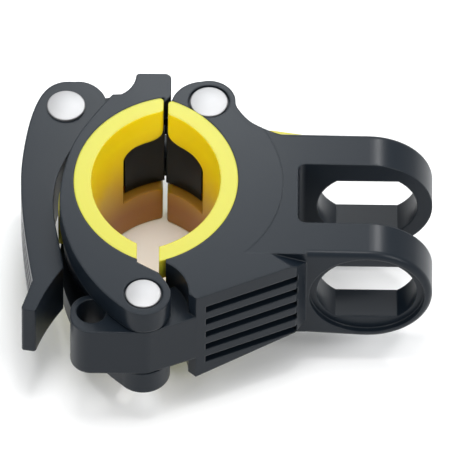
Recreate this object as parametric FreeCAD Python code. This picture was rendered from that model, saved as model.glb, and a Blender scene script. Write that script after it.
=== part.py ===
"""Seat-post clamp mount for a mudguard: cam-lever clamp, lined jaws and a two-eared clevis.

Millimetres, +Z up along the seat post. The origin lies on the clamp axis in the plane of the
liners' lower edges. +X points to the clevis ears, +Y to the draw link at the back.
"""
import os
from math import acos, atan2, cos, radians, sin

import FreeCAD
import Part
from FreeCAD import Vector

os.makedirs("parts", exist_ok=True)

# heights: everything hangs from the common top plane
LINER_H = 33.0
TOP = LINER_H
JAW_H = 24.2
LOW = TOP - JAW_H
MID = TOP - JAW_H / 2.0
TONGUE_H = 12.6
LEVEL_GAP = 0.3
SLOT_H = TONGUE_H + 2.0 * LEVEL_GAP
LINK_H = 5.0
LINK_SLOT_H = LINK_H + 2.0 * LEVEL_GAP

# levels between which the tongue, its slot, the link and its slot lie
TONGUE_Z = (MID - TONGUE_H / 2.0, MID + TONGUE_H / 2.0)
SLOT_Z = (MID - SLOT_H / 2.0, MID + SLOT_H / 2.0)
LINK_Z = (MID - LINK_H / 2.0, MID + LINK_H / 2.0)
LINK_SLOT_Z = (MID - LINK_SLOT_H / 2.0, MID + LINK_SLOT_H / 2.0)

# cutters: a reach past every face, a short overrun and the match of two equal coordinates
FAR = 60.0
OVERRUN = 1.0
SAME = 1e-4

# liners: two arcs whose centres cross over the axis, so that the closed bore is a lens
LINER_IN = 18.0
LINER_OUT = 21.4
JAW_AXIS_X = 5.2
BODY_AXIS_X = -5.65
BODY_AXIS_Y = 0.5
JAW_AXIS = Vector(JAW_AXIS_X, 0.0, 0.0)
BODY_AXIS = Vector(BODY_AXIS_X, BODY_AXIS_Y, 0.0)
BACK_JAW_X = 1.05
BACK_BODY_X = 1.95
FRONT_JAW_X = -3.7
FRONT_BODY_X = 0.6
LINER_ROUND = 0.8
FRONT_NOTCH_X = 5.5
FRONT_NOTCH_Y = -4.0

# windows at the back of the liners and the jaws' pads that stand in them
WINDOW_TOP = TOP - 8.4
WINDOW_LOW = LOW + 0.4
WINDOW_JAW_X = -6.7
WINDOW_BODY_X = 8.9
WINDOW_START_Y = 4.0
WINDOW_ROUND = 2.6
BAND_ROUND = 1.3
PAD_BACK = 1.75
PAD_ROOT = 0.2
PAD_GAP = 0.3
PAD_PARTING = 0.3
PARTING_X = (BACK_JAW_X + BACK_BODY_X) / 2.0

# pivots in plan
HINGE_X = -2.3
HINGE_Y = -28.0
LINK_PIN_X = 9.9
LINK_PIN_Y = 20.2
LEVER_PIN_X = -18.0
LEVER_PIN_Y = 23.1
HINGE = Vector(HINGE_X, HINGE_Y, 0.0)
LINK_PIN = Vector(LINK_PIN_X, LINK_PIN_Y, 0.0)
LEVER_PIN = Vector(LEVER_PIN_X, LEVER_PIN_Y, 0.0)
SPARE_PITCH = 10.0
PIVOT_GAP = 0.3
HINGE_SHANK_R = 2.6
LINK_SHANK_R = 1.9
LEVER_SHANK_R = 2.1
SPARE_R = HINGE_SHANK_R + PIVOT_GAP

# rivet heads and set tails
HINGE_HEAD_R = 3.45
LINK_HEAD_R = 3.7
LEVER_HEAD_R = 3.75
HEAD_RIM = 0.55
HEAD_DOME = 0.45
RECESS_GAP = 0.35
HINGE_RECESS = 0.5
LINK_RECESS = 0.6
SET_RECESS = 1.4
SET_H = 0.9
SET_EDGE = 0.4
SET_SHARE = 0.45

# jaw: its outer curve is given by its width outside the liner at angles round the liner's axis
JAW_WALL = 2.0
JAW_WIDTHS = [(126.0, 4.0), (139.0, 2.6), (153.0, 2.1), (173.0, 2.0),
              (191.0, 3.1), (209.0, 4.8), (226.5, 7.4), (240.0, 10.0)]
TONGUE_SWEEP_R = 15.2
HINGE_LUG_R = 5.3
HINGE_LUG_ARC = (221.0, 287.6, 371.0)
TAB_BACK_Y = 27.0
TAB_FOOT_Y = 21.5
TAB_RIGHT_X = 2.5
TAB_LEFT_X = -3.6
TAB_ROUND = 1.3
TAB_ARC = (0.0, 45.0, 90.0)
TAB_LEFT_ROUND = 0.8
TAB_LEFT_ARC = (90.0, 130.0, 170.0)
TAB_SWEEP = [(-5.3, 23.6), (-7.2, 21.75)]
TAB_HEEL = (-8.9, 21.65)
LIP_GAP = 0.1
LIP_Y = 19.8
THROAT = [(2.2, -25.4), (0.5, -22.8), (FRONT_JAW_X, -20.2)]

# boss that locks the jaw liner through the jaw's wall
BOSS_Y0 = -3.0
BOSS_Y1 = 7.0
BOSS_TOP = TOP - 8.0
BOSS_H = 8.0
BOSS_PROUD = 1.0
BOSS_ROOT = 0.5

# body: the rear lug's hollow and foot are offsets from the link's pin
CLEAR_R = 8.8
LUG_R = 5.2
LUG_ARC = (106.3, 45.6, 0.0)
LUG_HOLLOW = Vector(-4.6, 3.9, 0.0)
LUG_FOOT = Vector(-6.8, 1.4, 0.0)
BODY_SPLIT_BACK_Y = 18.5
BODY_SPLIT_FRONT_Y = -24.0
FLANK = [(15.9, 17.9), (18.3, 15.0), (21.6, 13.1)]
FLANK_END_X = 26.0
FLANK_LEAVES = Vector(0.0, -1.0, 0.0)
FLANK_JOINS = Vector(1.0, -0.2, 0.0)
COLLAR_R = 24.5

# ears: their tops fall from the collar to the crown of the round ends
EAR_REACH = 53.7
EAR_R = 12.7
EAR_X = EAR_REACH - EAR_R
EAR_FALL = 0.3
EAR_MID = TOP - EAR_FALL - EAR_R
EAR_LEVEL_X = 16.0
EAR_START_X = 20.0
EAR_FAR_Y = 12.75
EAR_NEAR_Y = -17.65
EAR_T = 7.9
EAR_ROOT_X = 27.4
EAR_EDGE = 1.1
ROOT_ROUND = 1.6
EYE_R = 9.75
EYE_FLATS = 15.4
RIM_R = 11.2
RIM_DEPTH = 1.2

# tongue: it ends a little past the spare hole, and its root lies inside the box
TONGUE_FRONT_Y = -33.2
TONGUE_BACK_Y = -24.0
TONGUE_TIP = 4.1
TONGUE_END_X = HINGE_X - SPARE_PITCH - TONGUE_TIP
TONGUE_BEND_X = -1.4
TONGUE_THROAT_X = 3.6
TONGUE_ROOT_Y = -21.5
TONGUE_ROUND = 4.0
TONGUE_BEND_R = 3.0
TONGUE_THROAT_R = 2.0
TONGUE_ROOT = [(0.6, 0.27), (2.0, 4.2), (1.0, 7.7)]

# louvred box beside the tongue
BOX_LEFT_X = 8.0
BOX_LEFT_Y = -29.2
BOX_RIGHT_X = 27.2
BOX_RIGHT_Y = -20.6
BOX_LEFT = Vector(BOX_LEFT_X, BOX_LEFT_Y, 0.0)
BOX_RIGHT = Vector(BOX_RIGHT_X, BOX_RIGHT_Y, 0.0)
BOX_END_X = 29.2
BOX_LIFT = 3.75
SHOULDER_BACK_X = 22.0
SHOULDER_FRONT_X = 26.6
SHOULDER_FRONT_Y = -21.3
SHOULDER_BACK = Vector(SHOULDER_BACK_X, EAR_NEAR_Y, TOP)
SHOULDER_FRONT = Vector(SHOULDER_FRONT_X, SHOULDER_FRONT_Y, TOP)
SHOULDER_W = 6.0
SHOULDER_DROP = 3.5
SHOULDER_LEAD = 3.0
SHOULDER_L = 14.0
LOUVRE_COUNT = 5
LOUVRE_PITCH = 3.83
LOUVRE_H = 1.9
LOUVRE_DEPTH = 2.6
LOUVRE_START = 2.0
LOUVRE_END = 0.5

# tail that locks the body liner through the wall and lies along the far ear's root
TAIL_W = 3.0
TAIL_H = 8.0
TAIL_TOP = TOP - 2.6
TAIL_START = Vector(12.2, 9.2, 0.0)
TAIL_TURN = Vector(22.6, 13.48, 0.0)
TAIL_TAB = [(21.2, 12.0, 0.0), (21.6, 15.25, 0.5), (29.8, 13.95, 0.7), (29.8, 12.0, 0.0)]

# draw link
LINK_EYE_R = 3.5
LEVER_EYE_R = 4.6
LINK_HALF_W = 2.0
LINK_ROOM = 0.4
LINK_BOW = 5.33

# lever: its head is given from the pin, its tab from the tip and its arm at shares of the arm's length
LEVER_L = 51.05
LEVER_TAB_L = 10.75
LEVER_ARM_L = LEVER_L - LEVER_TAB_L
HEAD_INNER = [(4.0, -5.7), (6.5, -2.6), (7.8, 1.5), (5.8, 5.1), (1.5, 6.4)]
HEAD_OUTER = [(1.5, 6.4), (-3.4, 4.9), (-6.0, 0.1)]
ARM_OUTER = [(-7.7, 0.19), (-8.5, 0.4), (-8.2, 0.62), (-7.1, 0.87), (-5.8, 1.08)]
ARM_INNER = [(-1.1, 0.81), (-2.0, 0.66), (-2.0, 0.52), (-0.9, 0.39), (1.1, 0.27)]
TAB_TIP = [(-7.8, 0.95), (-7.7, 0.45), (-7.3, 0.25), (-5.8, 0.0), (-5.3, 0.05), (-5.0, 0.45)]
TAB_INNER = [(-2.9, 5.55), (0.1, LEVER_TAB_L)]
FORK_ARC = (-20.0, 76.0, 172.0)
FORK_REACH = 14.0
GROOVE_COUNT = 3
GROOVE_PITCH = 3.0
GROOVE_H = 1.0
GROOVE_DEPTH = 0.7
GROOVE_FROM = 26.6
GROOVE_L = 15.5
GROOVE_SIDE = 3.0


def at(x, y, z=0.0):
    return Vector(x, y, z)


def polar(centre, r, degrees):
    """Point in plan at a radius and an angle round a centre."""
    angle = radians(degrees)
    return centre + at(r * cos(angle), r * sin(angle))


def points(table, origin=Vector(0.0, 0.0, 0.0)):
    """Points of a table of offsets in plan from an origin."""
    return [origin + at(x, y) for x, y in table]


def line(a, b):
    return Part.makeLine(a, b)


def arc(a, mid, b):
    return Part.Arc(a, mid, b).toShape()


def spline(points):
    curve = Part.BSplineCurve()
    curve.interpolate(points)
    return curve.toShape()


def loop(points):
    """Closed loop of straight edges."""
    return [line(points[i - 1], points[i]) for i in range(len(points))]


def prism(edges, z):
    """Solid over a closed loop in plan between two levels."""
    face = Part.Face(Part.Wire(edges))
    face.translate(at(0, 0, z[0]))
    return face.extrude(at(0, 0, z[1] - z[0]))


def rounded(corners):
    """Closed edge loop through (x, y, radius) corners, each corner rounded by its radius."""
    count = len(corners)
    pieces = []
    for i in range(count):
        x, y, r = corners[i]
        p = at(x, y)
        before = at(corners[i - 1][0], corners[i - 1][1]) - p
        after = at(corners[(i + 1) % count][0], corners[(i + 1) % count][1]) - p
        before.normalize()
        after.normalize()
        if r <= 0.0:
            pieces.append((p, None, p))
            continue
        half = before.getAngle(after) / 2.0
        reach = r * cos(half) / sin(half)
        bisector = before + after
        bisector.normalize()
        middle = p + bisector * (r / sin(half) - r)
        pieces.append((p + before * reach, middle, p + after * reach))
    edges = []
    for i in range(count):
        start, middle, end = pieces[i]
        if middle is not None:
            edges.append(arc(start, middle, end))
        following = pieces[(i + 1) % count][0]
        if (following - end).Length > SAME:
            edges.append(line(end, following))
    return edges


def block(x, y, z):
    """Box between two limits along each axis, given in either order."""
    low = at(min(x), min(y), min(z))
    return Part.makeBox(max(x) - low.x, max(y) - low.y, max(z) - low.z, low)


def post(centre, r, z):
    """Upright cylinder between two levels."""
    return Part.makeCylinder(r, z[1] - z[0], at(centre.x, centre.y, z[0]))


def ring(axis, r_out, r_in, z):
    return post(axis, r_out, z).cut(post(axis, r_in, z))


def one(shape):
    """The single solid of a boolean result, with its seams merged."""
    solids = shape.removeSplitter().Solids
    if len(solids) != 1:
        raise ValueError("expected one solid, got %d" % len(solids))
    return solids[0]


def soften(solid, radius, wanted):
    """Round the edges that the test picks."""
    return solid.makeFillet(radius, [e for e in solid.Edges if wanted(e)])


def rivet(centre, shank_r, head_r, z_seat, z_set):
    """Domed head on a shank, with the set end as a shallow lower head."""
    z_rim = z_seat + HEAD_RIM
    rim = post(centre, head_r, (z_seat, z_rim))
    ball_r = (head_r ** 2 + HEAD_DOME ** 2) / (2.0 * HEAD_DOME)
    dome = Part.makeSphere(ball_r, at(centre.x, centre.y, z_rim + HEAD_DOME - ball_r))
    dome = dome.common(post(centre, head_r, (z_rim, z_rim + 2.0 * HEAD_DOME)))
    shank = post(centre, shank_r, (z_set, z_seat))
    set_r = shank_r + SET_SHARE * (head_r - shank_r)
    set_end = Part.makeCone(set_r - SET_EDGE, set_r, SET_H, at(centre.x, centre.y, z_set - SET_H))
    return one(rim.fuse([dome, shank, set_end]))


def jaw_side(z):
    """Everything on the jaw's side of the split, which is wider at the front than at the back."""
    return block((-FAR, FRONT_JAW_X), (-FAR, 0), z).fuse(block((-FAR, BACK_JAW_X), (0, FAR), z))


def body_side(z):
    """Everything on the body's side of the split."""
    return block((FRONT_BODY_X, FAR), (-FAR, 0), z).fuse(block((BACK_BODY_X, FAR), (0, FAR), z))


def window(x_end, x_open, inset):
    """Block that fills a liner's back window, less the inset, rounded at its upper end corner."""
    x_from = x_end + inset if x_open > x_end else x_end - inset
    tool = block((x_from, x_open), (WINDOW_START_Y, FAR), (WINDOW_LOW + inset, WINDOW_TOP - inset))

    def upper_end(edge):
        box = edge.BoundBox
        return box.YLength > LINER_OUT and abs(box.XMin - x_from) < SAME and box.ZMin > MID

    return soften(tool, WINDOW_ROUND, upper_end)


def pad(axis, x_end, x_meet):
    """Raised pad of a jaw's wall that stands in the liner's window and keeps the liner from turning."""
    shell = ring(axis, LINER_OUT + PAD_ROOT, LINER_IN + PAD_BACK, (WINDOW_LOW, WINDOW_TOP))
    return shell.common(window(x_end, x_meet, PAD_GAP))


def flare(x_split, sign, z_edge, rise):
    """Cutter that rounds a band's corner where the window meets the split."""
    r = abs(rise)
    x_in = x_split - sign * r
    tool = block((x_in, x_split + sign * OVERRUN), (WINDOW_START_Y, FAR), (z_edge, z_edge + rise))
    barrel = Part.makeCylinder(r, FAR, at(x_in, WINDOW_START_Y, z_edge + rise), at(0, 1, 0))
    return tool.cut(barrel)


def half_liner(axis, keep, x_split, sign, x_window):
    """Half liner with rounded ends at the back, its window and the bands' rounded corners."""
    half = one(ring(axis, LINER_OUT, LINER_IN, (0.0, TOP)).common(keep))

    def back_end(edge):
        box = edge.BoundBox
        return box.ZLength > MID and box.YMin > 0.0 and abs(box.XMin - x_split) < SAME

    half = soften(half, LINER_ROUND, back_end)
    half = half.cut(window(x_window, x_split + sign * OVERRUN, 0.0))
    return half.cut([flare(x_split, sign, WINDOW_TOP, WINDOW_ROUND),
                     flare(x_split, sign, WINDOW_LOW, -BAND_ROUND)])


def liner_boss():
    """Boss on the jaw liner's back that fills a hole in the jaw's wall."""
    z = (BOSS_TOP - BOSS_H, BOSS_TOP)
    shell = ring(JAW_AXIS, LINER_OUT + JAW_WALL + BOSS_PROUD, LINER_OUT - BOSS_ROOT, z)
    return shell.common(block((-FAR, 0), (BOSS_Y0, BOSS_Y1), z))


def build_jaw_liner():
    half = half_liner(JAW_AXIS, jaw_side((0.0, TOP)), BACK_JAW_X, 1, WINDOW_JAW_X)
    half = half.cut(post(HINGE, TONGUE_SWEEP_R, SLOT_Z))
    return one(half.fuse(liner_boss()))


def tail_strip():
    """Straight part of the body liner's tail, from the liner out through the wall."""
    along = TAIL_TURN - TAIL_START
    along.normalize()
    side = at(-along.y, along.x) * (TAIL_W / 2.0)
    corners = [TAIL_START + side, TAIL_TURN + side, TAIL_TURN - side, TAIL_START - side]
    return prism(loop(corners), (TAIL_TOP - TAIL_H, TAIL_TOP))


def build_body_liner(body):
    half = half_liner(BODY_AXIS, body_side((0.0, TOP)), BACK_BODY_X, -1, WINDOW_BODY_X)
    half = half.cut(block((FRONT_BODY_X - OVERRUN, FRONT_NOTCH_X), (-FAR, FRONT_NOTCH_Y), SLOT_Z))
    strip = tail_strip().cut(post(BODY_AXIS, LINER_OUT, (0.0, TOP)))
    tab = prism(rounded(TAIL_TAB), (TAIL_TOP - TAIL_H, TAIL_TOP)).cut(body)
    return one(half.fuse(strip.fuse(tab)))


def jaw_outline():
    lip = at(BACK_JAW_X + LIP_GAP, LIP_Y)
    foot = at(TAB_RIGHT_X, TAB_FOOT_Y)
    right = at(TAB_RIGHT_X - TAB_ROUND, TAB_BACK_Y - TAB_ROUND)
    left = at(TAB_LEFT_X, TAB_BACK_Y - TAB_LEFT_ROUND)
    corner = [polar(right, TAB_ROUND, angle) for angle in TAB_ARC]
    shoulder = [polar(left, TAB_LEFT_ROUND, angle) for angle in TAB_LEFT_ARC]
    sweep = points(TAB_SWEEP)
    heel = at(*TAB_HEEL)
    lug = [polar(HINGE, HINGE_LUG_R, angle) for angle in HINGE_LUG_ARC]
    outer = [polar(JAW_AXIS, LINER_OUT + width, angle) for angle, width in JAW_WIDTHS] + [lug[0]]
    throat = points(THROAT)
    return [
        line(lip, foot),
        line(foot, corner[0]),
        arc(*corner),
        line(corner[2], shoulder[0]),
        arc(*shoulder),
        arc(shoulder[2], *sweep),
        line(sweep[1], heel),
        line(heel, outer[0]),
        spline(outer),
        arc(*lug),
        line(lug[2], throat[0]),
        line(throat[0], throat[1]),
        line(throat[1], throat[2]),
        line(throat[2], lip),
    ]


def build_jaw():
    level = (LOW, TOP)
    plates = [prism(jaw_outline(), (SLOT_Z[1], TOP)), prism(jaw_outline(), (LOW, SLOT_Z[0]))]
    wall = post(JAW_AXIS, LINER_OUT + JAW_WALL, SLOT_Z).common(jaw_side(SLOT_Z))
    wall = wall.cut(post(HINGE, TONGUE_SWEEP_R, SLOT_Z))
    past_liner = block((BACK_JAW_X + LIP_GAP, FAR), (0, FAR), (MID, TOP))
    seat = post(JAW_AXIS, LINER_OUT, level).cut(past_liner)
    jaw = wall.fuse(plates).cut(seat)
    jaw = jaw.fuse(pad(JAW_AXIS, WINDOW_JAW_X, PARTING_X - PAD_PARTING / 2.0))
    jaw = jaw.cut([
        liner_boss(),
        post(HINGE, HINGE_SHANK_R, level),
        post(HINGE, HINGE_HEAD_R + RECESS_GAP, (TOP - HINGE_RECESS, TOP)),
        post(HINGE, HINGE_HEAD_R, (LOW, LOW + SET_RECESS)),
    ])
    return one(jaw)


def flank():
    """Hollow curve from the rear lug to the back of the far ear, and its end."""
    end = at(FLANK_END_X, EAR_FAR_Y - EAR_EDGE)
    through = [LINK_PIN + at(LUG_R, 0.0)] + points(FLANK) + [end]
    curve = Part.BSplineCurve()
    curve.interpolate(Points=through, InitialTangent=FLANK_LEAVES, FinalTangent=FLANK_JOINS)
    return curve.toShape(), end


def body_outline():
    lug = [polar(LINK_PIN, LUG_R, angle) for angle in LUG_ARC]
    foot = LINK_PIN + LUG_FOOT
    split_back = at(BACK_BODY_X, BODY_SPLIT_BACK_Y)
    split_front = at(BACK_BODY_X, BODY_SPLIT_FRONT_Y)
    box_back = at(BOX_END_X, EAR_NEAR_Y)
    flank_edge, flank_end = flank()
    return [
        line(split_back, foot),
        arc(foot, LINK_PIN + LUG_HOLLOW, lug[0]),
        arc(*lug),
        flank_edge,
        line(flank_end, box_back),
        line(box_back, BOX_RIGHT),
        line(BOX_RIGHT, BOX_LEFT),
        line(BOX_LEFT, split_front),
        line(split_front, split_back),
    ]


def ear_tangent(start, sign):
    """Point where the line from the start touches the ears' round end, from above or from below."""
    centre = at(EAR_X, 0, EAR_MID)
    reach = start - centre
    angle = atan2(reach.z, reach.x) - sign * acos(EAR_R / reach.Length)
    return centre + at(EAR_R * cos(angle), 0, EAR_R * sin(angle))


def ear_top():
    """Line of the ears' tops, from the level collar to the round ends."""
    start = at(EAR_LEVEL_X, 0, TOP)
    return start, ear_tangent(start, 1.0)


def ear_block():
    """Rounded block that the slot later splits into two ears."""
    level, top_end = ear_top()
    top_start = level + (top_end - level) * ((EAR_START_X - level.x) / (top_end.x - level.x))
    low_start = at(EAR_START_X, 0, LOW)
    low_end = ear_tangent(low_start, -1.0)
    face = Part.Face(Part.Wire([
        line(low_start, low_end),
        arc(low_end, at(EAR_REACH, 0, EAR_MID), top_end),
        line(top_end, top_start),
        line(top_start, low_start),
    ]))
    face.translate(at(0, EAR_NEAR_Y))
    ears = face.extrude(at(0, EAR_FAR_Y - EAR_NEAR_Y))

    def outer_rim(edge):
        box = edge.BoundBox
        return box.YLength < SAME and box.XLength > SAME

    return soften(ears, EAR_EDGE, outer_rim)


def above_ears():
    """Cutter that lowers the body to the line of the ears' tops, outside the collar."""
    level, top_end = ear_top()
    up = at(0, 0, OVERRUN)
    face = Part.Face(Part.Wire(loop([level, top_end, at(top_end.x, 0, TOP) + up, level + up])))
    face.translate(at(0, EAR_NEAR_Y))
    wedge = face.extrude(at(0, FAR))
    return wedge.cut(post(at(0, 0), COLLAR_R, (TOP - OVERRUN, TOP + 2.0 * OVERRUN)))


def eye_cutter():
    """Round eye with a flat above and below, through both ears, and its outer rims."""
    along = at(0, 1, 0)
    half = EYE_FLATS / 2.0
    through = EAR_FAR_Y - EAR_NEAR_Y + 2.0 * OVERRUN
    eye = Part.makeCylinder(EYE_R, through, at(EAR_X, EAR_NEAR_Y - OVERRUN, EAR_MID), along)
    eye = eye.common(block((0, 2.0 * FAR), (-FAR, FAR), (EAR_MID - half, EAR_MID + half)))
    near = Part.makeCylinder(RIM_R, RIM_DEPTH, at(EAR_X, EAR_NEAR_Y, EAR_MID), along)
    far = Part.makeCylinder(RIM_R, RIM_DEPTH, at(EAR_X, EAR_FAR_Y - RIM_DEPTH, EAR_MID), along)
    return eye.fuse([near, far])


def ear_slot():
    near, far = EAR_NEAR_Y + EAR_T, EAR_FAR_Y - EAR_T
    corners = [(EAR_ROOT_X, near, ROOT_ROUND), (FAR, near, 0.0),
               (FAR, far, 0.0), (EAR_ROOT_X, far, ROOT_ROUND)]
    return prism(rounded(corners), (EAR_MID - EAR_R - OVERRUN, TOP + OVERRUN))


def louvres():
    """Level slots sunk square into the slanted face of the box."""
    along = BOX_RIGHT - BOX_LEFT
    reach = along.Length
    along.normalize()
    inward = at(-along.y, along.x)
    first = BOX_LEFT + along * LOUVRE_START - inward * OVERRUN
    last = BOX_LEFT + along * (reach + LOUVRE_END) - inward * OVERRUN
    deep = inward * (LOUVRE_DEPTH + OVERRUN)
    edges = loop([first, last, last + deep, first + deep])
    slots = []
    for i in range(LOUVRE_COUNT):
        z = MID + (i - (LOUVRE_COUNT - 1) / 2.0) * LOUVRE_PITCH
        slots.append(prism(edges, (z - LOUVRE_H / 2.0, z + LOUVRE_H / 2.0)))
    return slots


def box_underside():
    """Wedge that lifts the underside of the box towards the ears."""
    corners = [at(BOX_LEFT_X, 0, LOW), at(BOX_END_X, 0, LOW), at(BOX_END_X, 0, LOW + BOX_LIFT)]
    face = Part.Face(Part.Wire(loop(corners)))
    face.translate(at(0, -FAR))
    return face.extrude(at(0, FAR + EAR_NEAR_Y))


def box_shoulder():
    """Cutter for the facet that falls from the box's top to the front of the near ear."""
    along = SHOULDER_FRONT - SHOULDER_BACK
    along.normalize()
    across = at(-along.y, along.x) * SHOULDER_W
    up = at(0, 0, OVERRUN)
    start = SHOULDER_BACK - along * SHOULDER_LEAD
    corners = [start, start + across - at(0, 0, SHOULDER_DROP), start + across + up, start + up]
    wedge = Part.Face(Part.Wire(loop(corners))).extrude(along * SHOULDER_L)
    return wedge.common(block((0, FAR), (-FAR, EAR_NEAR_Y), (0, TOP + 2.0 * OVERRUN)))


def tongue():
    """Front bar with the hinge's hole and a spare one, rooted in the box."""
    root = [(BOX_LEFT_X + x, BOX_LEFT_Y + y, 0.0) for x, y in TONGUE_ROOT]
    corners = [(TONGUE_END_X, TONGUE_FRONT_Y, TONGUE_ROUND), (TONGUE_BEND_X, TONGUE_FRONT_Y, TONGUE_BEND_R)]
    corners += root
    corners += [(TONGUE_THROAT_X, TONGUE_ROOT_Y, 0.0), (0.0, TONGUE_BACK_Y, TONGUE_THROAT_R),
                (TONGUE_END_X, TONGUE_BACK_Y, TONGUE_ROUND)]
    bar = prism(rounded(corners), TONGUE_Z)
    spare = HINGE - at(SPARE_PITCH, 0)
    return bar.cut([post(HINGE, SPARE_R, TONGUE_Z), post(spare, SPARE_R, TONGUE_Z)])


def link_band(half_width, z):
    """Bowed band between the link's two pins."""
    chord = LEVER_PIN - LINK_PIN
    chord.normalize()
    bow = (LINK_PIN + LEVER_PIN) * 0.5 + at(chord.y, -chord.x) * LINK_BOW
    circle = Part.Circle(LINK_PIN, bow, LEVER_PIN)
    sides = []
    for radius in (circle.Radius - half_width, circle.Radius + half_width):
        rays = [p - circle.Center for p in (LINK_PIN, bow, LEVER_PIN)]
        sides.append([circle.Center + ray * (radius / ray.Length) for ray in rays])
    inner, outer = sides
    edges = [arc(*inner), line(inner[2], outer[2]),
             arc(outer[2], outer[1], outer[0]), line(outer[0], inner[0])]
    return prism(edges, z)


def build_link():
    eyes = [post(LINK_PIN, LINK_EYE_R, LINK_Z), post(LEVER_PIN, LEVER_EYE_R, LINK_Z)]
    holes = [post(LINK_PIN, LINK_SHANK_R + PIVOT_GAP, LINK_Z),
             post(LEVER_PIN, LEVER_SHANK_R + PIVOT_GAP, LINK_Z)]
    return one(link_band(LINK_HALF_W, LINK_Z).fuse(eyes).cut(holes))


def link_room():
    """Room in the body for the link's eye and for its swing towards the back."""
    eye = post(LINK_PIN, LINK_EYE_R + LINK_ROOM, LINK_SLOT_Z)
    behind = block((0.0, LINK_PIN_X + LUG_R + OVERRUN), (LINK_PIN_Y, FAR), LINK_SLOT_Z)
    return eye.fuse([behind, link_band(LINK_HALF_W + LINK_ROOM, LINK_SLOT_Z)])


def build_body():
    level = (LOW, TOP)
    body = prism(body_outline(), level).cut([post(HINGE, CLEAR_R, level), above_ears()])
    body = body.fuse(ear_block()).cut(post(BODY_AXIS, LINER_OUT, level))
    body = body.fuse([pad(BODY_AXIS, WINDOW_BODY_X, PARTING_X + PAD_PARTING / 2.0), tongue()])
    body = body.cut([link_room(), ear_slot(), eye_cutter(), box_underside(), box_shoulder(), tail_strip()])
    body = body.cut(louvres())
    body = body.cut([
        post(LINK_PIN, LINK_SHANK_R, level),
        post(LINK_PIN, LINK_HEAD_R + RECESS_GAP, (TOP - LINK_RECESS, TOP)),
        post(LINK_PIN, LINK_HEAD_R, (LOW, LOW + SET_RECESS)),
    ])
    return one(body)


def lever_outline():
    tip = LEVER_PIN - at(0, LEVER_L)
    head_inner = points(HEAD_INNER, LEVER_PIN)
    arm_outer = [LEVER_PIN + at(x, -share * LEVER_ARM_L) for x, share in ARM_OUTER]
    arm_inner = [LEVER_PIN + at(x, -share * LEVER_ARM_L) for x, share in ARM_INNER]
    tab_tip = points(TAB_TIP, tip)
    tab_inner = points(TAB_INNER, tip)
    return [
        spline(points(HEAD_OUTER, LEVER_PIN) + arm_outer),
        line(arm_outer[-1], tab_tip[0]),
        arc(*tab_tip[:3]),
        line(tab_tip[2], tab_tip[3]),
        arc(*tab_tip[3:]),
        spline([tab_tip[-1]] + tab_inner),
        spline([tab_inner[-1]] + arm_inner + [head_inner[0]]),
        spline(head_inner),
    ]


def fork_room():
    """Slot in the lever's head for the link's eye, open over the lever's whole swing."""
    eye = post(LEVER_PIN, LEVER_EYE_R + LINK_ROOM, LINK_SLOT_Z)
    swing = [polar(LEVER_PIN, FORK_REACH, angle) for angle in FORK_ARC]
    wedge = prism([line(LEVER_PIN, swing[0]), arc(*swing), line(swing[2], LEVER_PIN)], LINK_SLOT_Z)
    return eye.fuse(wedge)


def grip_grooves(lever):
    """Level grooves of even depth that follow the lever's outer side."""
    end = LEVER_PIN_Y - GROOVE_FROM
    grooves = []
    for i in range(GROOVE_COUNT):
        z = MID + (i - (GROOVE_COUNT - 1) / 2.0) * GROOVE_PITCH
        height = (z - GROOVE_H / 2.0, z + GROOVE_H / 2.0)
        slab = lever.common(block((-FAR, LEVER_PIN_X - GROOVE_SIDE), (end - GROOVE_L, end), height))
        inside = slab.copy()
        inside.translate(at(GROOVE_DEPTH, 0))
        grooves.append(slab.cut(inside))
    return grooves


def build_lever():
    lever = prism(lever_outline(), TONGUE_Z)
    lever = lever.cut(grip_grooves(lever))
    return one(lever.cut([fork_room(), post(LEVER_PIN, LEVER_SHANK_R, TONGUE_Z)]))


main_body = build_body()
pieces = {
    "main_body": main_body,
    "left_jaw": build_jaw(),
    "lever": build_lever(),
    "draw_link": build_link(),
    "body_liner": build_body_liner(main_body),
    "jaw_liner": build_jaw_liner(),
    "hinge_rivet": rivet(HINGE, HINGE_SHANK_R, HINGE_HEAD_R, TOP - HINGE_RECESS, LOW + SET_RECESS),
    "link_rivet": rivet(LINK_PIN, LINK_SHANK_R, LINK_HEAD_R, TOP - LINK_RECESS, LOW + SET_RECESS),
    "lever_rivet": rivet(LEVER_PIN, LEVER_SHANK_R, LEVER_HEAD_R, TONGUE_Z[1], TONGUE_Z[0]),
}
for name, solid in pieces.items():
    solid.exportStep("parts/%s.step" % name)
    print(name, "valid", solid.isValid(), "volume", round(solid.Volume, 1))
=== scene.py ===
"""Looks of the seat-post clamp mount: finishes, turned rivets, studio and camera."""
import logging
import math
from dataclasses import dataclass
from enum import Enum

import bpy
import numpy as np
from mathutils import Matrix, Vector


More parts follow.
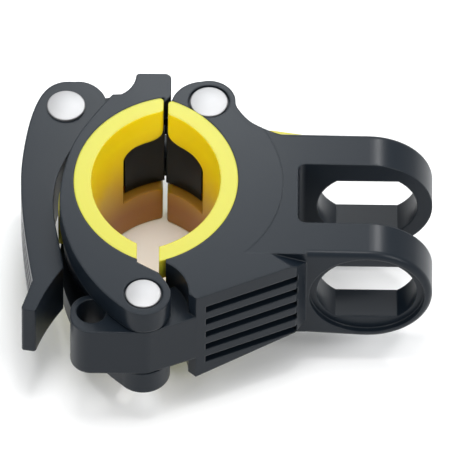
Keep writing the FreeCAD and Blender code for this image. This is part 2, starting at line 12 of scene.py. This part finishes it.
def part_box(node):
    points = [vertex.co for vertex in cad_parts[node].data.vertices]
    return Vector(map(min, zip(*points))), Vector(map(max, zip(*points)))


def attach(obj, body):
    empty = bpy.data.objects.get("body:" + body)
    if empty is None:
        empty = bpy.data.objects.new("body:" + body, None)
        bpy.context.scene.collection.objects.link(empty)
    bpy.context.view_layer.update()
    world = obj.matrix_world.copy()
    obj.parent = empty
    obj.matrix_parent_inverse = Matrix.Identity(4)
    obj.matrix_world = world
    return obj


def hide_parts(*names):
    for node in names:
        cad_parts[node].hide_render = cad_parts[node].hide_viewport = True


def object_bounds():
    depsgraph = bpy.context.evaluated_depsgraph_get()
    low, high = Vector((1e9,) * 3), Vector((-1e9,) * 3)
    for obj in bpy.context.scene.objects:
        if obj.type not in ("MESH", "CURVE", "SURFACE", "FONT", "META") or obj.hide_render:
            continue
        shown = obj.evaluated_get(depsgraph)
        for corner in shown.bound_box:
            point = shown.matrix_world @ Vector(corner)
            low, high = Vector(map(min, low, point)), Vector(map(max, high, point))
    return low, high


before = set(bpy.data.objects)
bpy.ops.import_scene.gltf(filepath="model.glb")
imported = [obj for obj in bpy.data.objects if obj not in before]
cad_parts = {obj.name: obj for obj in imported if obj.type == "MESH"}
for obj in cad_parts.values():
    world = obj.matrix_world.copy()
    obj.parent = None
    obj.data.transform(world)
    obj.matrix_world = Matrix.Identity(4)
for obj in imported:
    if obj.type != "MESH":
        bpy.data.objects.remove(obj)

LOG = logging.getLogger("mount")
PACKED_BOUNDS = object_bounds()
NOISE_MIDDLE = 0.5

Color = tuple[float, float, float]
Point = tuple[float, float, float]
Feed = bpy.types.NodeSocket | float | tuple[float, ...]


class Surface(Enum):
    """The three kinds of surface on the mount, by the record's slot names."""

    PLASTIC = "black_plastic"
    RUBBER = "yellow_rubber"
    METAL = "rivet_metal"


class Kind(Enum):
    """The kinds of socket that the shared effects have."""

    VALUE = "NodeSocketFloat"
    VECTOR = "NodeSocketVector"


class Sum(Enum):
    """The sums that a math node is asked for."""

    ADD = "ADD"
    SUBTRACT = "SUBTRACT"
    MULTIPLY = "MULTIPLY"
    DIVIDE = "DIVIDE"
    LARGER = "MAXIMUM"


# Nodes


def opaque(color: Color) -> tuple[float, ...]:
    """Give a colour a full alpha."""
    return (*color, 1.0)


@dataclass
class Board:
    """A node tree, with short ways to add and join its nodes."""

    tree: bpy.types.NodeTree

    def add(self, kind: str) -> bpy.types.Node:
        """Add a node of the given kind."""
        return self.tree.nodes.new(kind)

    def feed(self, slot: bpy.types.NodeSocket, value: Feed) -> None:
        """Link a socket to another one, or set it to a plain value.

        Args:
            slot: the socket to feed.
            value: the socket that feeds it, or a number or colour.
        """
        if isinstance(value, bpy.types.NodeSocket):
            self.tree.links.new(value, slot)
        else:
            slot.default_value = value

    def sum(self, what: Sum, a: Feed, b: Feed, clamp: bool = False) -> bpy.types.NodeSocket:
        """Work out a sum of two values.

        Args:
            what: the kind of sum.
            a: the first value.
            b: the second value.
            clamp: whether the result is held between 0 and 1.

        Returns:
            The socket of the result.
        """
        node = self.add("ShaderNodeMath")
        node.operation = what.value
        node.use_clamp = clamp
        self.feed(node.inputs[0], a)
        self.feed(node.inputs[1], b)
        return node.outputs[0]

    def dot(self, a: bpy.types.NodeSocket, b: bpy.types.NodeSocket) -> bpy.types.NodeSocket:
        """Work out the dot product of two vectors.

        Args:
            a: the first vector's socket.
            b: the second vector's socket.

        Returns:
            The socket of the product.
        """
        node = self.add("ShaderNodeVectorMath")
        node.operation = "DOT_PRODUCT"
        self.feed(node.inputs[0], a)
        self.feed(node.inputs[1], b)
        return node.outputs["Value"]

    def blend(self, base: Feed, over: Color, share: bpy.types.NodeSocket) -> bpy.types.NodeSocket:
        """Lay one colour over another.

        Args:
            base: the colour below, or its socket.
            over: the colour above.
            share: the socket of the share of the colour above.

        Returns:
            The socket of the blended colour.
        """
        node = self.add("ShaderNodeMix")
        node.data_type = "RGBA"
        self.feed(node.inputs["A"], base)
        self.feed(node.inputs["B"], opaque(over))
        self.feed(node.inputs["Factor"], share)
        return node.outputs["Result"]

    def place(self, effect: bpy.types.NodeTree, **values: float) -> bpy.types.Node:
        """Place a shared effect.

        Args:
            effect: the effect's node group.
            values: the number for each input that is set, by the input's name.

        Returns:
            The node of the placed effect.
        """
        node = self.add("ShaderNodeGroup")
        node.node_tree = effect
        for label, value in values.items():
            self.feed(node.inputs[label], value)
        return node


# Effects that the finishes share


def start_effect(name: str, inputs: dict[str, Kind],
                 outputs: dict[str, Kind]) -> tuple[Board, bpy.types.Node, bpy.types.Node]:
    """Start a node group with named sockets.

    Args:
        name: the group's name.
        inputs: the kind of each input, by its name.
        outputs: the kind of each output, by its name.

    Returns:
        The group's board, its input node and its output node.
    """
    group = bpy.data.node_groups.new(name, "ShaderNodeTree")
    for side, sockets in (("INPUT", inputs), ("OUTPUT", outputs)):
        for label, kind in sockets.items():
            group.interface.new_socket(label, in_out=side, socket_type=kind.value)
    board = Board(group)
    return board, board.add("NodeGroupInput"), board.add("NodeGroupOutput")


@dataclass(frozen=True)
class EdgeRound:
    """Rounded edges: a turned normal and a mask of where the edges are."""

    samples: int = 6

    def build(self) -> bpy.types.NodeTree:
        """Make the node group.

        The bevel shader turns normals near an edge. The mask is one minus the dot product of that
        normal and the true one, times a gain, so it is nought on flats and rises along each edge.

        Returns:
            The node group.
        """
        board, enter, leave = start_effect(
            "edge_round", {"Radius": Kind.VALUE, "Gain": Kind.VALUE},
            {"Normal": Kind.VECTOR, "Edge": Kind.VALUE})
        bevel = board.add("ShaderNodeBevel")
        bevel.samples = self.samples
        board.feed(bevel.inputs["Radius"], enter.outputs["Radius"])
        true_normal = board.add("ShaderNodeNewGeometry").outputs["Normal"]
        level = board.dot(bevel.outputs["Normal"], true_normal)
        turned = board.sum(Sum.SUBTRACT, 1.0, level)
        mask = board.sum(Sum.MULTIPLY, turned, enter.outputs["Gain"], clamp=True)
        board.feed(leave.inputs["Normal"], bevel.outputs["Normal"])
        board.feed(leave.inputs["Edge"], mask)
        return board.tree


@dataclass(frozen=True)
class FineGrain:
    """Fine moulded grain: a bumped normal, and a slow mottle for the roughness."""

    detail: float = 2.0
    strength: float = 0.35
    mottle_scale: float = 60.0
    mottle_detail: float = 3.0

    def build(self) -> bpy.types.NodeTree:
        """Make the node group.

        A fine noise bumps the incoming normal, and a coarse noise gives the mottle.

        Returns:
            The node group.
        """
        board, enter, leave = start_effect(
            "fine_grain", {"Scale": Kind.VALUE, "Depth": Kind.VALUE, "Normal": Kind.VECTOR},
            {"Normal": Kind.VECTOR, "Mottle": Kind.VALUE})
        place = board.add("ShaderNodeTexCoord").outputs["Object"]
        fine = (enter.outputs["Scale"], self.detail)
        coarse = (self.mottle_scale, self.mottle_detail)
        noises = []
        for scale, detail in (fine, coarse):
            noise = board.add("ShaderNodeTexNoise")
            board.feed(noise.inputs["Vector"], place)
            board.feed(noise.inputs["Scale"], scale)
            board.feed(noise.inputs["Detail"], detail)
            noises.append(noise.outputs[0])
        grain, mottle = noises
        bump = board.add("ShaderNodeBump")
        board.feed(bump.inputs["Strength"], self.strength)
        board.feed(bump.inputs["Distance"], enter.outputs["Depth"])
        board.feed(bump.inputs["Height"], grain)
        board.feed(bump.inputs["Normal"], enter.outputs["Normal"])
        board.feed(leave.inputs["Normal"], bump.outputs["Normal"])
        board.feed(leave.inputs["Mottle"], mottle)
        return board.tree


@dataclass(frozen=True)
class BoreShadingMasks:
    """Masks for painted light and shade in the bore: faces towards the clamp's axis, and the low
    faces that get painted shade.
    """

    inward_gain: float = 1.6

    def build(self) -> bpy.types.NodeTree:
        """Make the node group.

        The inward share is the dot product of the normal and the unit vector towards the axis, times
        a gain. The upward share is the normal's height. The larger of them is multiplied by a share
        that falls from one at the low height to nought at the high one.

        Returns:
            The node group.
        """
        board, enter, leave = start_effect(
            "painted_bore_shade", {"High": Kind.VALUE, "Low": Kind.VALUE},
            {"Inner": Kind.VALUE, "PaintedShade": Kind.VALUE})
        coordinates = board.add("ShaderNodeTexCoord")
        place = board.add("ShaderNodeSeparateXYZ")
        board.feed(place.inputs[0], coordinates.outputs["Object"])
        flat = board.add("ShaderNodeCombineXYZ")
        board.feed(flat.inputs["X"], place.outputs["X"])
        board.feed(flat.inputs["Y"], place.outputs["Y"])
        outward = board.add("ShaderNodeVectorMath")
        outward.operation = "NORMALIZE"
        board.feed(outward.inputs[0], flat.outputs[0])
        facing_out = board.dot(outward.outputs["Vector"], coordinates.outputs["Normal"])
        inward = board.sum(Sum.MULTIPLY, facing_out, -self.inward_gain, clamp=True)
        normal = board.add("ShaderNodeSeparateXYZ")
        board.feed(normal.inputs[0], coordinates.outputs["Normal"])
        facing = board.sum(Sum.LARGER, inward, normal.outputs["Z"])
        below = board.sum(Sum.SUBTRACT, enter.outputs["High"], place.outputs["Z"])
        span = board.sum(Sum.SUBTRACT, enter.outputs["High"], enter.outputs["Low"])
        depth = board.sum(Sum.DIVIDE, below, span, clamp=True)
        board.feed(leave.inputs["Inner"], inward)
        # Mask of the painted shade.
        board.feed(leave.inputs["PaintedShade"], board.sum(Sum.MULTIPLY, facing, depth))
        return board.tree


@dataclass(frozen=True)
class Effects:
    """The node groups of the shared effects."""

    edges: bpy.types.NodeTree
    grain: bpy.types.NodeTree
    # Masks of the painted light and shade in the bore.
    bore_shading: bpy.types.NodeTree


# Finishes


@dataclass(frozen=True)
class BoreShading:
    """Painted light and shade in the bore: faces towards the axis painted brighter and warmer, low
    faces painted darker.

    The painted shade grows from nought at the high height to its full strength at the low one, in
    metres.
    """

    # Painted light: a brighter, warmer colour for the faces towards the axis.
    painted_light_color: Color
    # Painted shade: a dark brown for the low faces of the bore.
    color: Color
    high: float
    low: float
    painted_shade_amount: float

    def tint(self, board: Board, effect: bpy.types.NodeTree,
             base: bpy.types.NodeSocket) -> bpy.types.NodeSocket:
        """Lay the painted light and the painted shade over a colour.

        Args:
            board: the material's board.
            effect: the node group of the bore's masks.
            base: the socket of the colour to change.

        Returns:
            The socket of the changed colour.
        """
        bore = board.place(effect, High=self.high, Low=self.low)
        # Painted light on the faces towards the axis.
        painted_inner_light = board.blend(base, self.painted_light_color, bore.outputs["Inner"])
        # Painted shade, darker towards the bottom of the bore.
        painted_shade_share = board.sum(Sum.MULTIPLY, bore.outputs["PaintedShade"], self.painted_shade_amount)
        return board.blend(painted_inner_light, self.color, painted_shade_share)


@dataclass(frozen=True)
class Finish:
    """One finish: a base colour with edge and grain effects on a Principled shader, with painted
    light and shade in the bore where given.

    The edge radius, the grain's depth and the glow's reach are in metres.
    """

    surface: Surface
    color: Color
    edge_color: Color
    roughness: float
    specular: float
    edge_radius: float
    edge_mix: float
    grain_scale: float
    mottle: float
    metallic: float = 0.0
    grain_depth: float = 0.00001
    edge_gain: float = 4.0
    glow: float = 0.0
    glow_spread: Color = (1.0, 0.6, 0.05)
    glow_reach: float = 0.003
    bore_shading: BoreShading | None = None

    def build(self, effects: Effects) -> bpy.types.Material:
        """Make the material.

        Args:
            effects: the shared effects.

        Returns:
            The material.
        """
        material = bpy.data.materials.new(self.surface.value)
        material.use_nodes = True
        board = Board(material.node_tree)
        shader = material.node_tree.nodes["Principled BSDF"].inputs
        board.feed(shader["Metallic"], self.metallic)
        board.feed(shader["Specular IOR Level"], self.specular)
        board.feed(shader["Subsurface Weight"], self.glow)
        board.feed(shader["Subsurface Radius"], self.glow_spread)
        board.feed(shader["Subsurface Scale"], self.glow_reach)
        edge = board.place(effects.edges, Radius=self.edge_radius, Gain=self.edge_gain)
        skin = board.place(effects.grain, Scale=self.grain_scale, Depth=self.grain_depth)
        board.feed(skin.inputs["Normal"], edge.outputs["Normal"])
        board.feed(shader["Normal"], skin.outputs["Normal"])
        worn = board.sum(Sum.MULTIPLY, edge.outputs["Edge"], self.edge_mix)
        tint = board.blend(opaque(self.color), self.edge_color, worn)
        # Painted light and painted shade in the bore.
        if self.bore_shading is not None:
            tint = self.bore_shading.tint(board, effects.bore_shading, tint)
        board.feed(shader["Base Color"], tint)
        centred = board.sum(Sum.SUBTRACT, skin.outputs["Mottle"], NOISE_MIDDLE)
        shift = board.sum(Sum.MULTIPLY, centred, self.mottle)
        board.feed(shader["Roughness"], board.sum(Sum.ADD, shift, self.roughness))
        return material


PLASTIC = Finish(
    surface=Surface.PLASTIC, color=(0.006, 0.0095, 0.0142), edge_color=(0.036, 0.042, 0.048),
    roughness=0.32, specular=0.16, edge_radius=0.00045, edge_mix=0.5, grain_scale=1500.0, mottle=0.1)
RUBBER = Finish(
    surface=Surface.RUBBER, color=(0.45, 0.425, 0.021), edge_color=(0.58, 0.5, 0.06),
    roughness=0.4, specular=0.48, edge_radius=0.0005, edge_mix=0.5, grain_scale=700.0, mottle=0.08,
    glow=0.4,
    # Painted light on the faces towards the axis and painted shade on the low band.
    bore_shading=BoreShading(painted_light_color=(0.98, 0.76, 0.006), color=(0.3, 0.085, 0.012), high=0.028, low=0.005, painted_shade_amount=0.9))
METAL = Finish(
    surface=Surface.METAL, color=(0.32, 0.32, 0.325), edge_color=(0.48, 0.48, 0.48),
    roughness=0.55, specular=0.5, edge_radius=0.0002, edge_mix=0.3, grain_scale=1200.0, mottle=0.1,
    metallic=1.0)


# Pieces


def surface_of_turning(name: str, profile: np.ndarray, centre: tuple[float, float], steps: int,
                       sharp: float) -> bpy.types.Object:
    """Turn a profile about a vertical axis.

    Each point (r, z) of the profile runs round the axis: x = cx + r cos t, y = cy + r sin t. The
    first and the last row lie on the axis, and a fan of triangles closes the surface there.

    Args:
        name: the object's name.
        profile: rows of (r, z) in metres, from the top centre to the lower centre.
        centre: the axis in plan.
        steps: how many steps round.
        sharp: the angle in radians past which an edge stays sharp.

    Returns:
        The new object, linked into the scene.
    """
    turn = np.linspace(0.0, 2.0 * np.pi, steps, endpoint=False)
    rings = profile[1:-1]
    r, z = rings[:, :1], rings[:, 1:]
    x = centre[0] + r * np.cos(turn)
    y = centre[1] + r * np.sin(turn)
    grid = np.stack([x, y, np.broadcast_to(z, x.shape)], axis=-1).reshape(-1, 3)
    poles = np.array([[*centre, profile[0, 1]], [*centre, profile[-1, 1]]])
    index = np.arange(len(grid)).reshape(len(rings), steps)
    right = np.roll(index, -1, axis=1)
    quads = np.stack([index[:-1], index[1:], right[1:], right[:-1]], axis=-1).reshape(-1, 4)
    top = np.stack([np.full(steps, len(grid)), index[0], right[0]], axis=-1)
    low = np.stack([np.full(steps, len(grid) + 1), right[-1], index[-1]], axis=-1)
    mesh = bpy.data.meshes.new(name)
    faces = quads.tolist() + top.tolist() + low.tolist()
    mesh.from_pydata(np.concatenate([grid, poles]).tolist(), [], faces)
    mesh.polygons.foreach_set("use_smooth", np.ones(len(mesh.polygons), dtype=bool))
    mesh.set_sharp_from_angle(angle=sharp)
    mesh.update()
    made = bpy.data.objects.new(name, mesh)
    bpy.context.scene.collection.objects.link(made)
    return made


@dataclass(frozen=True)
class Rivet:
    """A set rivet, turned as one profile that stands in for the CAD node.

    Lengths are in metres. The lip's start and the sharp angle are in radians.
    """

    node: str
    body: str
    rim: float
    shank: float
    dome: float = 0.00045
    wall: float = 0.00055
    lip: float = 0.0003
    lip_start: float = 0.35
    tail_share: float = 0.45
    tail_height: float = 0.0009
    tail_chamfer: float = 0.0004
    crown_rows: int = 14
    lip_rows: int = 6
    steps: int = 72
    sharp: float = math.radians(35.0)

    def profile(self, low: float, high: float) -> np.ndarray:
        """Work out the line of the head, the shank and the tail.

        The crown is part of a ball through the rim: z = high - ball + sqrt(ball^2 - r^2), where the
        ball's radius is (rim^2 + dome^2) / (2 dome). An arc of the lip's radius rounds its edge. The
        tail is wider than the shank by a share of what the head is.

        Args:
            low: the rivet's lowest height.
            high: its highest height.

        Returns:
            Rows of (r, z), from the crown to the tail's centre.
        """
        ball = (self.rim ** 2 + self.dome ** 2) / (2.0 * self.dome)
        r = np.linspace(0.0, self.rim - self.lip, self.crown_rows)
        crown = np.stack([r, high - ball + np.sqrt(ball ** 2 - r ** 2)], axis=1)
        turn = np.linspace(self.lip_start, np.pi / 2.0, self.lip_rows)
        arc = self.lip * np.stack([np.sin(turn), np.cos(turn)], axis=1)
        edge = crown[-1] - np.array([0.0, self.lip]) + arc
        seat = high - self.dome - self.wall
        flare = low + self.tail_height
        tail = self.shank + self.tail_share * (self.rim - self.shank)
        rest = np.array([[self.rim, seat], [self.shank, seat], [self.shank, flare], [tail, flare],
                         [tail - self.tail_chamfer, low], [0.0, low]])
        return np.concatenate([crown, edge, rest])

    def build(self, material: bpy.types.Material) -> None:
        """Turn the rivet, dress it and tie it to its body.

        Args:
            material: the metal finish.
        """
        low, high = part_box(self.node)
        centre = ((low[0] + high[0]) / 2.0, (low[1] + high[1]) / 2.0)
        line = self.profile(low[2], high[2])
        made = surface_of_turning(self.node + "_turned", line, centre, self.steps, self.sharp)
        made.data.materials.append(material)
        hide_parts(self.node)
        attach(made, self.body)
        LOG.info("rivets: %s turned at %.4f, %.4f", self.node, *centre)


@dataclass(frozen=True)
class Moulding:
    """Moulded pieces of one sub-assembly, which keep their CAD meshes and share a finish."""

    label: str
    nodes: tuple[str, ...]

    def dress(self, material: bpy.types.Material) -> None:
        """Give each piece the material.

        Args:
            material: the finish of these pieces.
        """
        for name in self.nodes:
            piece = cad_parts[name]
            piece.data.materials.clear()
            piece.data.materials.append(material)
            LOG.info("%s: %s dressed", self.label, name)


CLAMP = Moulding("clamp", ("main_body", "left_jaw"))
LEVER = Moulding("lever", ("lever", "draw_link"))
LINERS = Moulding("liners", ("body_liner", "jaw_liner"))
RIVETS = (
    Rivet("hinge_rivet", "jaw", rim=0.00345, shank=0.0026),
    Rivet("link_rivet", "body", rim=0.0037, shank=0.0019),
    Rivet("lever_rivet", "lever", rim=0.00375, shank=0.0021))


# Studio


@dataclass(frozen=True)
class Softbox:
    """A square area light that faces the part: its place and side in metres, its power in watts."""

    name: str
    where: Point
    side: float
    power: float
    tint: Color = (1.0, 1.0, 1.0)

    def hang(self) -> None:
        """Hang the light, out of the camera's sight and turned to the top of the clamp."""
        data = bpy.data.lights.new(self.name, "AREA")
        data.color = self.tint
        data.size = self.side
        data.energy = self.power
        lamp = bpy.data.objects.new(self.name, data)
        bpy.context.scene.collection.objects.link(lamp)
        lamp.location = self.where
        lamp.visible_camera = False
        aim = Vector((0.0, 0.0, PACKED_BOUNDS[1][2])) - Vector(self.where)
        lamp.rotation_mode = "QUATERNION"
        lamp.rotation_quaternion = aim.to_track_quat("-Z", "Y")


@dataclass(frozen=True)
class Camera:
    """A distant camera that looks along +Y and down, with the clamp's axis on its pixel."""

    elevation: float = math.radians(51.0)
    roll: float = math.radians(0.7)
    distance: float = 3.0
    clamp_pixel: tuple[float, float] = (157.0, 181.0)
    pixels_per_metre: float = 5150.0
    image: float = 450.0
    sensor: float = 36.0
    near: float = 0.01
    far: float = 20.0

    def place(self) -> None:
        """Place the camera and make it the scene's own."""
        data = bpy.data.cameras.new("camera")
        data.sensor_width = self.sensor
        data.lens = self.sensor * self.pixels_per_metre * self.distance / self.image
        data.clip_start = self.near
        data.clip_end = self.far
        eye = bpy.data.objects.new("camera", data)
        bpy.context.scene.collection.objects.link(eye)
        back = Vector((0.0, -math.cos(self.elevation), math.sin(self.elevation)))
        level = Vector((1.0, 0.0, 0.0))
        rise = Vector((0.0, math.sin(self.elevation), math.cos(self.elevation)))
        right = level * math.cos(self.roll) + rise * math.sin(self.roll)
        up = rise * math.cos(self.roll) - level * math.sin(self.roll)
        along, down = (self.image / 2.0 - pixel for pixel in self.clamp_pixel)
        clamp = Vector((0.0, 0.0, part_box("jaw_liner")[1].z))
        aim = clamp + (right * along - up * down) / self.pixels_per_metre
        eye.location = aim + back * self.distance
        eye.rotation_mode = "QUATERNION"
        eye.rotation_quaternion = Matrix((right, up, back)).transposed().to_quaternion()
        bpy.context.scene.camera = eye


@dataclass(frozen=True)
class Studio:
    """Pale floor, white backdrop, soft lights and the camera."""

    floor_half: float = 3.0
    floor_drop: float = 0.0002
    floor_color: Color = (0.94, 0.94, 0.94)
    floor_roughness: float = 0.9
    seen_color: Color = (1.0, 1.0, 1.0)
    room_color: Color = (0.94, 0.97, 1.0)
    room_strength: float = 0.3
    camera: Camera = Camera()
    lights: tuple[Softbox, ...] = (
        Softbox("top", where=(0.1, 0.05, 0.9), side=0.5, power=2.0),
        Softbox("well", where=(0.0, -0.01, 0.9), side=0.24, power=2.6),
        Softbox("front left", where=(-0.6, -0.45, 0.65), side=0.4, power=4.0),
        Softbox("front right", where=(0.65, -0.45, 0.65), side=0.4, power=4.6),
        Softbox("back", where=(0.002, 0.163, 0.188), side=0.06, power=0.145, tint=(0.94, 0.98, 1.0)),
        Softbox("strip", where=(0.16, 0.31, 0.4), side=0.04, power=0.6))

    def floor(self) -> None:
        """Lay a wide pale floor just under the part."""
        half = self.floor_half
        z = PACKED_BOUNDS[0][2] - self.floor_drop
        mesh = bpy.data.meshes.new("floor")
        corners = [(-half, -half, z), (half, -half, z), (half, half, z), (-half, half, z)]
        mesh.from_pydata(corners, [], [(0, 1, 2, 3)])
        plane = bpy.data.objects.new("floor", mesh)
        bpy.context.scene.collection.objects.link(plane)
        material = bpy.data.materials.new("floor")
        material.use_nodes = True
        shader = material.node_tree.nodes["Principled BSDF"].inputs
        shader["Base Color"].default_value = opaque(self.floor_color)
        shader["Roughness"].default_value = self.floor_roughness
        shader["Specular IOR Level"].default_value = 0.0
        mesh.materials.append(material)

    def world(self) -> None:
        """White where the camera looks or a gloss mirrors it, a soft grey room for the light."""
        world = bpy.data.worlds.new("room")
        world.use_nodes = True
        bpy.context.scene.world = world
        world.node_tree.nodes.clear()
        board = Board(world.node_tree)
        room = board.add("ShaderNodeBackground")
        board.feed(room.inputs["Color"], opaque(self.room_color))
        board.feed(room.inputs["Strength"], self.room_strength)
        seen = board.add("ShaderNodeBackground")
        board.feed(seen.inputs["Color"], opaque(self.seen_color))
        rays = board.add("ShaderNodeLightPath").outputs
        looked_at = rays["Is Camera Ray"]
        for ray in ("Is Glossy Ray", "Is Transmission Ray"):
            looked_at = board.sum(Sum.LARGER, looked_at, rays[ray])
        mix = board.add("ShaderNodeMixShader")
        board.feed(mix.inputs["Fac"], looked_at)
        board.feed(mix.inputs[1], room.outputs[0])
        board.feed(mix.inputs[2], seen.outputs[0])
        board.feed(board.add("ShaderNodeOutputWorld").inputs["Surface"], mix.outputs[0])

    def build(self) -> None:
        """Put the whole studio up."""
        self.camera.place()
        self.floor()
        self.world()
        for light in self.lights:
            light.hang()
        bpy.context.scene.view_settings.view_transform = "Standard"
        LOG.info("studio: camera, floor and %d lights up", len(self.lights))


def main() -> None:
    """Dress every piece, turn the rivets and light the scene."""
    logging.basicConfig(level=logging.INFO)
    effects = Effects(EdgeRound().build(), FineGrain().build(), BoreShadingMasks().build())
    plastic = PLASTIC.build(effects)
    CLAMP.dress(plastic)
    LEVER.dress(plastic)
    LINERS.dress(RUBBER.build(effects))
    metal = METAL.build(effects)
    for rivet in RIVETS:
        rivet.build(metal)
    Studio().build()


if __name__ == "__main__":
    main()
